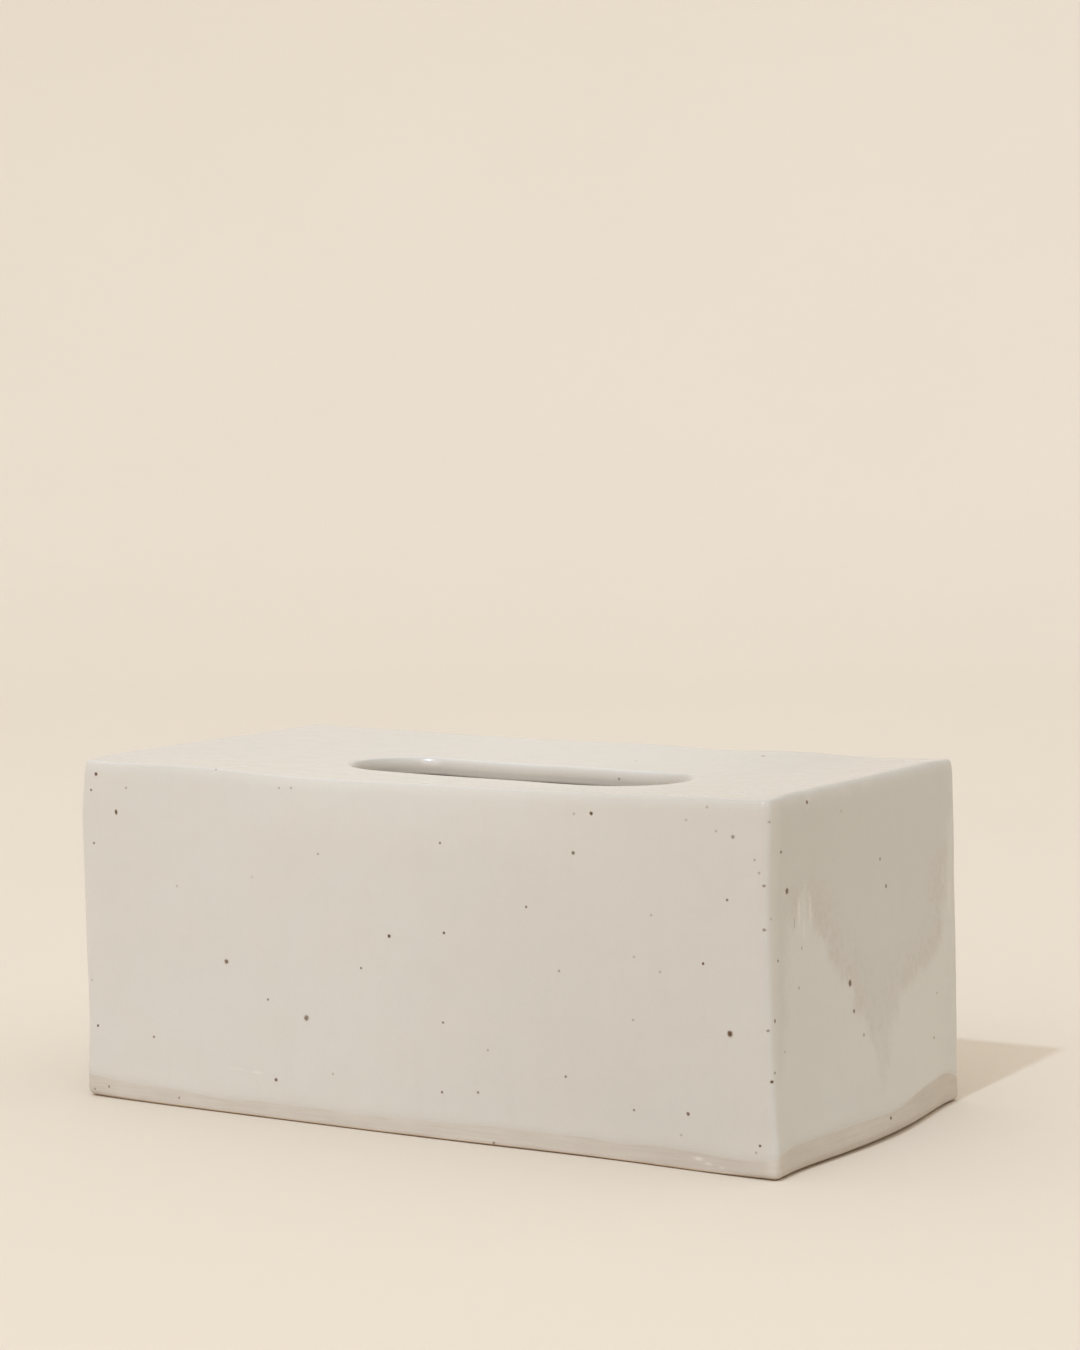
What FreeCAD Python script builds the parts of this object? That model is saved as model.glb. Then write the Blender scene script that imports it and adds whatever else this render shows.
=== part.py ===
import FreeCAD, Part
import os

# Slab-built stoneware cover for a flat carton of tissues.
# Millimetres. Origin at the centre of the foot, +Z up, +X along the length,
# front wall towards -Y.

# ---------------------------------------------------------------- overall
LENGTH = 256.4         # length over the glaze, at the corners
END_BELLY = 5.7        # how far the short walls belly outwards at the foot
WIDTH = 137.6          # depth over the glaze
HEIGHT = 113.8         # height over the glaze at the top edge
TOP_SAG = 5.4          # how far the middle of the top has sagged
SAG_MARGIN = 4.0       # flat rim between the sag and the outside

CORNER_R = 2.6         # upright outside corners
RIM_R = 2.2            # top outside edges

# ---------------------------------------------------------------- clay
CLAY_T = 6.0           # slab thickness
GLAZE_T = 0.5          # glaze thickness
COIL_R = 4.0           # quarter-round coil in the inside seams
COIL_FOOT = 7.0        # the upright coils stop this far above the foot

# ---------------------------------------------------------------- slot
SLOT_LEN = 124.0       # over the glaze
SLOT_WID = 42.0
SLOT_RIM_R = 2.3       # rounded upper edge of the slot

# ---------------------------------------------------------------- glaze line
# height of the lower edge of the glaze above the foot, on a coarse plan grid:
# columns from the left end to the right end, rows from the front to the back
LINE_ROWS = [
    [6.9, 5.0, 4.8, 5.0, 6.2, 6.1, 6.2],
    [7.3, 6.2, 6.0, 6.0, 6.4, 6.8, 8.6],
    [7.6, 6.5, 6.2, 6.2, 6.4, 6.9, 7.4],
    [7.0, 6.2, 6.0, 6.4, 6.6, 7.2, 9.8],
    [6.5, 5.6, 6.1, 6.6, 6.2, 6.8, 9.2],
]

V = FreeCAD.Vector


def belly(x_sign, off):
    """Curved pad that makes a short wall belly outwards towards the foot."""
    hx = LENGTH / 2.0 - off
    hy = WIDTH / 2.0 - off - 5.0
    low, high = -3.0, HEIGHT - 14.0
    under = -0.35
    crown = 2.0 * END_BELLY - under
    poles = [
        [under, crown, under],
        [under, under + 0.30 * (crown - under), under],
        [under, under, under],
    ]
    surface = Part.BezierSurface()
    surface.increase(2, 2)
    for i in range(3):
        for j in range(3):
            z = low + (high - low) * i / 2.0
            surface.setPole(i + 1, j + 1, V(x_sign * (hx + poles[i][j]), hy * (j - 1), z))
    return surface.toShape().extrude(V(-8.0 * x_sign, 0, 0))


def below_floor():
    return Part.makeBox(400, 300, 40, V(-200, -150, -40))


def sag_patch(z):
    """Doubly curved sheet that hangs TOP_SAG below the plane at height z."""
    hx = LENGTH / 2.0 - SAG_MARGIN
    hy = WIDTH / 2.0 - SAG_MARGIN
    surface = Part.BezierSurface()
    surface.increase(2, 2)
    for i in range(3):
        for j in range(3):
            drop = 4.0 * TOP_SAG if (i == 1 and j == 1) else 0.0
            surface.setPole(i + 1, j + 1, V(hx * (i - 1), hy * (j - 1), z - drop))
    return surface.toShape()


def sag_block(z, thick, up):
    """Solid on one side of the sagging sheet at height z."""
    return sag_patch(z).extrude(V(0, 0, thick if up else -thick))


def slot_block(off):
    """Upright stadium prism of the slot, off wider than the glazed slot."""
    r = SLOT_WID / 2.0 + off
    hx = SLOT_LEN / 2.0 + off - r
    z0 = HEIGHT - 30.0
    wire = Part.Wire([
        Part.LineSegment(V(-hx, -r, z0), V(hx, -r, z0)).toShape(),
        Part.Arc(V(hx, -r, z0), V(hx + r, 0, z0), V(hx, r, z0)).toShape(),
        Part.LineSegment(V(hx, r, z0), V(-hx, r, z0)).toShape(),
        Part.Arc(V(-hx, r, z0), V(-hx - r, 0, z0), V(-hx, -r, z0)).toShape(),
    ])
    return Part.Face(wire).extrude(V(0, 0, 60.0))


def outside(off):
    """Solid block of the outside shape, off inside the glaze, top dished."""
    top = HEIGHT - off
    hx = LENGTH / 2.0 - off
    hy = WIDTH / 2.0 - off
    block = Part.makeBox(2 * hx, 2 * hy, top, V(-hx, -hy, 0))
    uprights = [e for e in block.Edges if e.BoundBox.ZLength > top - 1.0]
    block = block.makeFillet(CORNER_R - off, uprights)
    rim = [e for e in block.Edges if abs(e.BoundBox.ZMin - top) < 1e-4 and abs(e.BoundBox.ZMax - top) < 1e-4]
    block = block.makeFillet(RIM_R - off, rim)
    block = block.fuse([belly(1, off), belly(-1, off)]).cut(below_floor())
    return block.cut(sag_block(top, 12.0, True))


def slotted(block, off, top):
    """The dished block with the slot cut and its upper edge rounded."""
    cut = block.cut(slot_block(off))
    r = SLOT_RIM_R - off
    hx = SLOT_LEN / 2.0 + off + 0.5
    hy = SLOT_WID / 2.0 + off + 0.5
    rim = []
    for e in cut.Edges:
        b = e.BoundBox
        if b.XMax < hx and b.XMin > -hx and b.YMax < hy and b.YMin > -hy:
            if b.ZMin > top - TOP_SAG - 1.0 and b.ZLength < 1.5:
                rim.append(e)
    return cut.makeFillet(r, rim)


def polyhedron(low, z0, high, z1):
    """Solid between two rectangles (half sizes) at two heights."""
    def rect(h, z):
        pts = [V(-h[0], -h[1], z), V(h[0], -h[1], z), V(h[0], h[1], z), V(-h[0], h[1], z)]
        return Part.makePolygon(pts + [pts[0]])
    return Part.makeLoft([rect(low, z0), rect(high, z1)], True, True)


def plan_prism(points, z0, z1):
    pts = [V(x, y, z0) for x, y in points]
    return Part.Face(Part.makePolygon(pts + [pts[0]])).extrude(V(0, 0, z1 - z0))


def one_solid(shape, name):
    solids = shape.Solids
    if len(solids) != 1:
        solids = sorted(solids, key=lambda s: -s.Volume)
        print(name, "has", len(solids), "solids", [round(s.Volume, 3) for s in solids])
    solid = solids[0]
    if not solid.isValid():
        print(name, "is not valid")
    return solid


# ---------------------------------------------------------------- clay shell
clay_top = HEIGHT - GLAZE_T
inside_off = GLAZE_T + CLAY_T
ceiling = HEIGHT - inside_off

clay_block = outside(GLAZE_T)
clay_slotted = slotted(clay_block, GLAZE_T, clay_top)

ix = LENGTH / 2.0 - inside_off
iy = WIDTH / 2.0 - inside_off
cavity = Part.makeBox(2 * ix, 2 * iy, ceiling + 4.0, V(-ix, -iy, -4.0))
cavity = cavity.fuse([belly(1, inside_off), belly(-1, inside_off)])
# the underside of the top hangs with the sag, so the slab keeps its thickness
hang = sag_patch(ceiling).extrude(V(0, 0, 12.0))
cavity = cavity.cut(hang)

shell = clay_slotted.cut(cavity)

# ---------------------------------------------------------------- mitred slabs
hx = LENGTH / 2.0 - GLAZE_T
hy = WIDTH / 2.0 - GLAZE_T
DEEP = 16.0
OVER = 8.0
lid = polyhedron((hx - DEEP, hy - DEEP), clay_top - DEEP, (hx + OVER, hy + OVER), clay_top + OVER)
REACH = 40.0


def wall_sector(side):
    o = OVER
    if side == "front":
        pts = [(-hx - o, -hy - o), (hx + o, -hy - o), (hx - REACH, -hy + REACH), (-hx + REACH, -hy + REACH)]
    elif side == "back":
        pts = [(hx + o, hy + o), (-hx - o, hy + o), (-hx + REACH, hy - REACH), (hx - REACH, hy - REACH)]
    elif side == "right":
        pts = [(hx + o, -hy - o), (hx + o, hy + o), (hx - REACH, hy - REACH), (hx - REACH, -hy + REACH)]
    else:
        pts = [(-hx - o, hy + o), (-hx - o, -hy - o), (-hx + REACH, -hy + REACH), (-hx + REACH, hy - REACH)]
    return plan_prism(pts, -2.0, HEIGHT + 2.0)


nodes = {}
nodes["top_slab"] = shell.common(lid)
walls = shell.cut(lid)
nodes["front_slab"] = walls.common(wall_sector("front"))
nodes["back_slab"] = walls.common(wall_sector("back"))
nodes["left_end_slab"] = walls.common(wall_sector("left"))
nodes["right_end_slab"] = walls.common(wall_sector("right"))

# ---------------------------------------------------------------- seam coils
def rod(p, direction, length):
    return Part.makeCylinder(COIL_R, length, p, direction)


top_rods = {
    "front": rod(V(-ix - 10, -iy, ceiling), V(1, 0, 0), 2 * ix + 20),
    "back": rod(V(-ix - 10, iy, ceiling), V(1, 0, 0), 2 * ix + 20),
    "left": rod(V(-ix, -iy - 10, ceiling), V(0, 1, 0), 2 * iy + 20),
    "right": rod(V(ix, -iy - 10, ceiling), V(0, 1, 0), 2 * iy + 20),
}


def coil_sector(side):
    r = 20.0
    if side == "front":
        pts = [(-ix - 2, -iy - 2), (ix + 2, -iy - 2), (ix - r, -iy + r), (-ix + r, -iy + r)]
    elif side == "back":
        pts = [(ix + 2, iy + 2), (-ix - 2, iy + 2), (-ix + r, iy - r), (ix - r, iy - r)]
    elif side == "right":
        pts = [(ix + 2, -iy - 2), (ix + 2, iy + 2), (ix - r, iy - r), (ix - r, -iy + r)]
    else:
        pts = [(-ix - 2, iy + 2), (-ix - 2, -iy - 2), (-ix + r, -iy + r), (-ix + r, iy - r)]
    return plan_prism(pts, ceiling - 20.0, ceiling + 2.0)


for side in ("front", "back", "left", "right"):
    nodes["coil_top_" + side] = top_rods[side].common(cavity).common(coil_sector(side))

for fb, sy in (("front", -1), ("back", 1)):
    for lr, sx in (("left", -1), ("right", 1)):
        foot = V(sx * ix, sy * iy, COIL_FOOT)
        head = V(sx * ix, sy * iy, ceiling)
        run = head.sub(foot)
        post = rod(foot, run, run.Length).common(cavity)
        post = post.cut(top_rods[fb]).cut(top_rods[lr])
        nodes["coil_corner_%s_%s" % (fb, lr)] = post

# ---------------------------------------------------------------- glaze
glaze_block = outside(0.0)
glaze_slotted = slotted(glaze_block, 0.0, HEIGHT)
glaze = glaze_slotted.cut(clay_slotted).cut(cavity)

grid = []
rows = len(LINE_ROWS)
cols = len(LINE_ROWS[0])
for i in range(cols):
    x = -136.0 + 272.0 * i / (cols - 1)
    grid.append([V(x, -73.0 + 146.0 * j / (rows - 1), LINE_ROWS[j][i]) for j in range(rows)])
line = Part.BSplineSurface()
line.interpolate(grid)
bare = line.toShape().extrude(V(0, 0, -40.0))
nodes["glaze_coat"] = glaze.cut(bare)

# ---------------------------------------------------------------- write
os.makedirs("parts", exist_ok=True)
for name in nodes:
    solid = one_solid(nodes[name], name)
    nodes[name] = solid
    solid.exportStep("parts/%s.step" % name)
    b = solid.optimalBoundingBox(True, False)
    print("%-26s %9.1f mm3  x %.2f..%.2f  y %.2f..%.2f  z %.2f..%.2f" % (
        name, solid.Volume, b.XMin, b.XMax, b.YMin, b.YMax, b.ZMin, b.ZMax))
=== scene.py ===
import bpy
import bmesh
import math
import numpy as np
from mathutils import Matrix, Vector


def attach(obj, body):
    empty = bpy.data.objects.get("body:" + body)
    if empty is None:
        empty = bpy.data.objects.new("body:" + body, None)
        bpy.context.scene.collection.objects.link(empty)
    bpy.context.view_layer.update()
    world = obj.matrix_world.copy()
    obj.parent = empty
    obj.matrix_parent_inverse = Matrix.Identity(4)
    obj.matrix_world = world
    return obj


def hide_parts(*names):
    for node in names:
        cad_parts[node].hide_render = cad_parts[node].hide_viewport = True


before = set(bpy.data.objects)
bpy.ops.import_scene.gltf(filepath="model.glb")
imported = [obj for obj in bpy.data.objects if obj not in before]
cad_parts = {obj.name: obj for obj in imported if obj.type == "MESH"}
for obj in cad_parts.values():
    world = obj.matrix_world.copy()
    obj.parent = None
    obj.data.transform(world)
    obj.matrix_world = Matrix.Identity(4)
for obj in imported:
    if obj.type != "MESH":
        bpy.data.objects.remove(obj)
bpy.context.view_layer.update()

# ------------------------------------------------------------------ measures
# Lengths below are in modelling millimetres. The pieces are drawn on a true
# box first, and one shared warp then bends them all out of true together,
# the way a slab-built cover moves while it dries and is fired.
UNIT = 0.000992        # metres in one modelling millimetre
HX, HY, HT = 128.6, 67.9, 113.3    # half length, half depth, height
RC = 2.8               # upright corner radius over the glaze
RIM_RUN = 4.6          # the walls lean in over this length below the top edge
GLAZE = 0.5            # glaze thickness
CLAY = 6.0             # slab thickness
INSET = GLAZE + CLAY
SLOT_X, SLOT_Y = 61.7, 20.3        # half length and half width of the slot
SLOT_R = 2.8           # rounding of the slot's near upper edge
SLOT_FAR = (0.9, 6.6, math.radians(58))   # far edge: tight turn, slow turn, and where they meet
SLOT_C = (0.7, 0.3)    # the slot sits this far off the middle
SAG = 4.2              # how far the middle of the top has sunk


def spline(xs, ys):
    """Natural cubic curve through the points, held level past its ends."""
    xs = np.asarray(xs, float)
    ys = np.asarray(ys, float)
    n = len(xs)
    h = np.diff(xs)
    a = np.zeros((n, n))
    b = np.zeros(n)
    a[0, 0] = a[-1, -1] = 1.0
    for i in range(1, n - 1):
        a[i, i - 1], a[i, i], a[i, i + 1] = h[i - 1], 2 * (h[i - 1] + h[i]), h[i]
        b[i] = 6 * ((ys[i + 1] - ys[i]) / h[i] - (ys[i] - ys[i - 1]) / h[i - 1])
    m = np.linalg.solve(a, b)

    def curve(x):
        x = np.clip(np.asarray(x, float), xs[0], xs[-1])
        i = np.clip(np.searchsorted(xs, x) - 1, 0, n - 2)
        t = x - xs[i]
        c = (ys[i + 1] - ys[i]) / h[i] - h[i] * (2 * m[i] + m[i + 1]) / 6
        return ys[i] + t * (c + t * (m[i] / 2 + t * (m[i + 1] - m[i]) / (6 * h[i])))
    return curve


def waves(count, short, long, seed):
    """Smooth unevenness of unit strength, as a sum of slow waves."""
    g = np.random.default_rng(seed)
    d = g.normal(size=(count, 3))
    d /= np.linalg.norm(d, axis=1)[:, None]
    k = 2 * np.pi / np.exp(g.uniform(np.log(short), np.log(long), count))
    ph = g.uniform(0, 2 * np.pi, count)

    def field(p):
        return np.sin(p @ (d * k[:, None]).T + ph).sum(-1) / math.sqrt(count / 2)
    return field


def smooth(lo, hi, x):
    t = np.clip((np.asarray(x, float) - lo) / (hi - lo), 0, 1)
    return t * t * (3 - 2 * t)


# ------------------------------------------------------------------ the warp
left_front = spline([0, 10, 20, 33, 45, 57, 69, 81, 90, 99, 105, 113.3],
                    [.15, .1, .6, .45, 0, -.25, -.55, -.85, -1.1, -.9, -.35, .3])
left_back = spline([0, 57, 113.3], [0, .4, 1.0])
right_front = spline([0, 5, 9, 20, 30, 47, 65, 83, 95, 108, 113.3],
                     [1.2, .7, .35, -.55, -1.3, -2.1, -2.6, -3.1, -2.85, -2.4, -2.3])
right_back = spline([0, 9, 21, 33, 45, 57, 69, 81, 93, 105, 113.3],
                    [.6, -.1, -.25, -.45, -.65, -.95, -1.35, -1.55, -1.85, -2.3, -2.6])
front_foot = spline([-128, -79, -37, 4, 43, 80, 118, 128],
                    [-.65, -.95, -.7, -.5, .7, 1.45, .3, 0])
back_foot = spline([-128, -70, -20, 30, 80, 128], [.1, .5, .2, -.5, .3, 0])
top_front = spline([-128, -117, -101, -81, -61, -41, -22, -3, 15, 33, 50, 69, 86, 103, 116, 128],
                   [-.95, -1.0, -.6, -.62, -1.25, -1.85, -1.75, -1.5, -1.38, -1.1, -.88, -.75, -.35, .13, .25, .6])
top_inner = spline([-128, -40, -10, 20, 50, 75, 128], [-.3, -.3, -.4, -.8, -1.1, -1.3, -.2])
top_back = spline([-128, -85, -40, -6, 13, 41, 59, 82, 95, 121, 128],
                  [-.4, -.75, -1.1, -.85, -.6, -1.25, -.7, -.55, -1.0, -.3, -.1])
slow = [waves(9, 55, 150, s) for s in (11, 12, 13, 14)]


def bulge(y, z, mid):
    """How far a short wall bellies out at a height, most at the foot."""
    w = np.clip(np.abs(y - mid) / 60.0, 0, 1)
    return 4.9 * np.cos(w * np.pi / 2) ** 1.5 * np.clip(1 - z / HT, 0, 1) ** 2


def sag(x, y):
    """Depth of the sunken top, with a soft start inside the edge."""
    u = 1 - (x / (HX - 2.0)) ** 2
    v = 1 - (y / (HY - 2.0)) ** 2
    soft = 0.03
    u = 0.5 * (u + np.sqrt(u * u + soft * soft))
    v = 0.5 * (v + np.sqrt(v * v + soft * soft))
    return SAG * u * v


def warp(p):
    p = np.asarray(p, float)
    shape = p.shape
    p = p.reshape(-1, 3)
    x, y, z = p[:, 0], p[:, 1], p[:, 2]
    zc = np.clip(z, 0, HT)
    tx = np.clip((x + HX) / (2 * HX), 0, 1)
    ty = np.clip((y + HY) / (2 * HY), 0, 1)
    low = (1 - zc / HT) ** 2
    dl = (1 - ty) * left_front(zc) + ty * left_back(zc) - bulge(y, zc, 0.0)
    dr = (1 - ty) * right_front(zc) + ty * right_back(zc) + bulge(y, zc, 2.7)
    mid = 4 * ty * (1 - ty)
    dl = dl + 0.25 * slow[0](p) * mid
    dr = dr + 0.12 * slow[1](p) * mid
    df = front_foot(x) * low
    db = back_foot(x) * low
    midx = 4 * tx * (1 - tx)
    df = df + 0.10 * slow[2](p) * midx
    db = db + 0.20 * slow[3](p) * midx
    dz = (1 - ty) * top_inner(x) + ty * top_back(x)
    dz = dz + (top_front(x) - top_inner(x)) * np.exp(-np.clip(y + HY, 0, None) / 12.0)
    dz = dz + 0.55 * (1 - smooth(-126, -104, x)) * smooth(0.0, 0.09, ty) * (1 - smooth(0.3, 1.0, ty))
    dz = dz + 1.05 * smooth(92, 126, x) * smooth(0.0, 0.12, ty) * (1 - 0.35 * smooth(0.2, 0.8, ty)) * (1 - smooth(0.86, 1.0, ty))
    out = np.empty_like(p)
    out[:, 0] = x + (1 - tx) * dl + tx * dr
    out[:, 1] = y + (1 - ty) * df + ty * db
    out[:, 2] = z * (1 + dz / HT) - sag(x, y) * smooth(70, 98, z)
    return out.reshape(shape)


# ------------------------------------------------------------------ glaze line
def around(x, y):
    """Place on the outline: 0-2 front, 2-4 right, 4-6 back, 6-8 left."""
    a, b = x / HX, y / HY
    front = (np.abs(b) >= np.abs(a)) & (b < 0)
    back = (np.abs(b) >= np.abs(a)) & (b >= 0)
    right = (np.abs(b) < np.abs(a)) & (a > 0)
    m = np.maximum(np.maximum(np.abs(a), np.abs(b)), 1e-9)
    a, b = a / m, b / m
    u = np.where(front, 1 + a, np.where(right, 3 + b, np.where(back, 5 - a, 7 - b)))
    return np.mod(u, 8.0)


def loop_curve(pairs):
    us = np.array([p[0] for p in pairs])
    vs = np.array([p[1] for p in pairs])
    us = np.concatenate([us - 8, us, us + 8])
    vs = np.concatenate([vs, vs, vs])
    return spline(us, vs)


FRONT_LINE = [(-125.4, 6.75), (-117.4, 6.05), (-106.1, 5.65), (-96.2, 5.2), (-87.2, 4.9), (-73.1, 4.25),
              (-56.1, 4.8), (-37.4, 4.65), (-16.4, 4.55), (8.3, 4.9), (34.9, 5.7), (56.8, 5.4), (76.7, 5.4),
              (99, 5.5), (114.8, 4.95), (125.3, 5.4)]
END_LINE = [(-64.4, 6.8), (-50.1, 7.8), (-28.4, 8.1), (-11.4, 8.0), (8.3, 7.5), (25.9, 9.1),
            (46.9, 10.1), (60.3, 9.5), (64.4, 8.0)]
line_curve = loop_curve(
    [(1 + x / HX, z) for x, z in FRONT_LINE] + [(3 + y / HY, z) for y, z in END_LINE]
    + [(4.06, 7.9), (4.3, 7.4), (4.7, 6.7), (5.1, 6.1), (5.5, 7.2), (5.8, 6.6), (6.05, 6.2)]
    + [(6.3, 6.8), (6.7, 7.6), (7.1, 8.2), (7.5, 7.3), (7.8, 6.9)])
line_ripple = waves(8, 9, 24, 31)
foot_curve = loop_curve([(0.0, 2.7), (0.06, 2.0), (0.25, 1.0), (0.5, 0.7), (1.0, 0.6), (1.6, 0.6), (1.9, 1.3), (1.99, 2.3), (2.06, 2.5),
                         (2.2, 2.8), (2.6, 3.2), (3.0, 3.8), (3.5, 3.1), (3.9, 2.5), (4.15, 1.7), (5.0, 1.5),
                         (5.9, 1.8), (6.15, 2.4), (7.0, 3.0), (7.85, 2.5)])
foot_gap = loop_curve([(0.0, .16), (0.2, .18), (0.5, .25), (1.0, .29), (1.6, .29), (1.9, .26), (2.1, .32), (2.6, .38),
                       (3.0, .42), (3.5, .36), (3.9, .25), (5.0, .30), (6.0, .25), (7.0, .36), (7.85, .20)])
rim_lean = loop_curve([(0.1, 16), (0.4, 22), (1.0, 24), (1.6, 21), (1.95, 16), (2.2, 12), (3.0, 12),
                       (3.8, 12), (4.2, 14), (5.0, 16), (5.8, 14), (6.2, 12), (7.0, 12), (7.8, 12)])
rim_turn = loop_curve([(0.05, 1.2), (0.4, .9), (1.0, .85), (1.6, .9), (1.95, 1.2), (2.05, 1.3), (2.3, 1.9),
                       (3.0, 1.9), (3.7, 1.8), (3.95, 1.4), (4.05, 1.4), (4.5, 1.5), (5.5, 1.5), (5.95, 1.4),
                       (6.05, 1.4), (6.4, 1.7), (7.5, 1.7), (7.95, 1.3)])


def rim_steps(x, y):
    """Section of the top edge: how far in, how far up and how tilted, step by step."""
    u = around(x, y)
    lean = np.radians(rim_lean(u))
    turn = rim_turn(u)
    s = (np.arange(50) + 0.5) / 50
    tilt = lean[:, None] * s ** 1.6
    run_in = RIM_RUN * np.cumsum(np.sin(tilt), 1) / 50
    run_up = RIM_RUN * np.cumsum(np.cos(tilt), 1) / 50
    steps = [(run_in[:, i], run_up[:, i], lean * ((i + 1) / 50) ** 1.6) for i in (9, 19, 29, 39, 49)]
    for f in np.linspace(0, 1, 8)[1:]:
        g = lean + (np.pi / 2 - lean) * f
        steps.append((run_in[:, -1] + turn * (np.cos(lean) - np.cos(g)),
                      run_up[:, -1] + turn * (np.sin(g) - np.sin(lean)), g))
    return steps


RIM_SPLIT = 8          # the step of the top edge where the walls meet the top slab


def line_height(x, y):
    """Height of the lower edge of the glaze at a place on the outline."""
    p = np.stack([x, y, 0 * x], -1)
    return line_curve(around(x, y)) + 0.10 * line_ripple(p)


def clay_inset(h):
    """How far the clay lies under the true outline, h above the glaze line."""
    return 0.10 + 0.40 * smooth(0.5, 8.0, h)


def edge_depth(h):
    """How far the glaze lies under the true outline: it feathers out into the clay."""
    return 0.16 * (1 - smooth(-1.0, 3.2, h)) - 0.02 * np.exp(-((h - 3.4) / 1.6) ** 2)


# ------------------------------------------------------------------ outlines
def outline(hx, hy, r, n_long, n_short, m):
    """Rounded rectangle seen from above, from the front left round to it again."""
    pts, nrm = [], []

    def side(a, b, n, count):
        t = (np.arange(count) + 1.0) / (count + 1.0)
        pts.append(np.outer(1 - t, a) + np.outer(t, b))
        nrm.append(np.tile(n, (count, 1)))

    def corner(c, start):
        g = np.radians(start + np.linspace(0, 90, m))
        d = np.stack([np.cos(g), np.sin(g)], -1)
        pts.append(np.array(c) + r * d)
        nrm.append(d)

    ax, ay = hx - r, hy - r
    side((-ax, -hy), (ax, -hy), (0, -1), n_long)
    corner((ax, -ay), -90)
    side((hx, -ay), (hx, ay), (1, 0), n_short)
    corner((ax, ay), 0)
    side((ax, hy), (-ax, hy), (0, 1), n_long)
    corner((-ax, ay), 90)
    side((-hx, ay), (-hx, -ay), (-1, 0), n_short)
    corner((-ax, -ay), 180)
    return np.concatenate(pts), np.concatenate(nrm).astype(float)


def slot_outline(plan):
    """Point of the slot's wall that faces each outline point, and the way out."""
    q = np.stack([plan[:, 0] / HX * SLOT_X, plan[:, 1] / HY * SLOT_Y], -1)
    run = SLOT_X - SLOT_Y
    c = np.stack([np.clip(q[:, 0], -run, run), np.zeros(len(q))], -1)
    d = q - c
    d /= np.linalg.norm(d, axis=1)[:, None]
    return c + d * SLOT_Y, d


def slot_steps(d):
    """Section of the slot's upper edge from the top down: how far out, how deep, how tilted."""
    far = smooth(0.0, 0.55, d @ np.array([-0.508, 0.861]))
    r1, r2, meet = SLOT_FAR
    start = r1 * math.sin(meet) + r2 * (1 - math.sin(meet))
    steps = [(SLOT_R + (start - SLOT_R) * far, 0 * far, 0 * far)]
    for j, g in enumerate((0.5 * meet, meet) + tuple(np.linspace(meet, math.pi / 2, 6)[1:])):
        a = math.pi / 2 * (j + 1) / 7
        near = (SLOT_R * (1 - math.sin(a)), SLOT_R * (1 - math.cos(a)), a)
        if g <= meet:
            back = (start - r1 * math.sin(g), r1 * (1 - math.cos(g)), g)
        else:
            back = (r2 * (1 - math.sin(g)), r1 * (1 - math.cos(meet)) + r2 * (math.cos(meet) - math.cos(g)), g)
        steps.append(tuple(n + (b - n) * far for n, b in zip(near, back)))
    return steps


def lift(plan, z):
    z = np.broadcast_to(np.asarray(z, float), (len(plan),))
    return np.column_stack([plan, z])


# ------------------------------------------------------------------ meshes
def new_object(name, verts, faces, keep_data=None):
    mesh = bpy.data.meshes.new(name)
    mesh.from_pydata((np.asarray(verts) * UNIT).tolist(), [], faces)
    mesh.update()
    bm = bmesh.new()
    bm.from_mesh(mesh)
    bmesh.ops.recalc_face_normals(bm, faces=bm.faces)
    bm.to_mesh(mesh)
    bm.free()
    mesh.polygons.foreach_set("use_smooth", np.ones(len(mesh.polygons), bool))
    mesh.update()
    obj = bpy.data.objects.new(name, mesh)
    bpy.context.scene.collection.objects.link(obj)
    return obj


def ring_faces(count, k, closed):
    a = np.arange(k)
    b = (a + 1) % k
    faces = []
    for i in range(count if closed else count - 1):
        j = (i + 1) % count
        faces.append(np.stack([i * k + a, i * k + b, j * k + b, j * k + a], -1))
    return np.concatenate(faces).tolist()


def block_object(name, grid):
    """Closed skin of a bent block given as a grid of points."""
    ni, nj, nk = grid.shape[:3]
    index = -np.ones((ni, nj, nk), int)
    edge = np.zeros((ni, nj, nk), bool)
    edge[[0, -1]] = True
    edge[:, [0, -1]] = True
    edge[:, :, [0, -1]] = True
    index[edge] = np.arange(edge.sum())
    faces = []

    def sheet(ids, flip):
        q = np.stack([ids[:-1, :-1], ids[1:, :-1], ids[1:, 1:], ids[:-1, 1:]], -1).reshape(-1, 4)
        faces.append(q[:, ::-1] if flip else q)
    sheet(index[:, :, 0], False)
    sheet(index[:, :, -1], True)
    sheet(index[:, 0, :], True)
    sheet(index[:, -1, :], False)
    sheet(index[0], True)
    sheet(index[-1], False)
    return new_object(name, grid[edge], np.concatenate(faces).tolist())


def sharpen(obj, degrees):
    """Keeps folds sharper than an angle crisp and the rest smooth."""
    mesh = obj.data
    bm = bmesh.new()
    bm.from_mesh(mesh)
    limit = math.radians(degrees)
    for e in bm.edges:
        if len(e.link_faces) == 2 and e.calc_face_angle(0.0) > limit:
            e.smooth = False
    bm.to_mesh(mesh)
    bm.free()


def point_values(obj, name, values):
    a = obj.data.attributes.new(name, "FLOAT", "POINT")
    a.data.foreach_set("value", np.asarray(values, np.float32))


# ------------------------------------------------------------------ glaze
N_LONG, N_SHORT, N_CORNER = 166, 86, 11
plan, out = outline(HX, HY, RC, N_LONG, N_SHORT, N_CORNER)
K = len(plan)
wall, away = slot_outline(plan)
shift = np.array(SLOT_C)
line = line_height(plan[:, 0], plan[:, 1])

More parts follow.
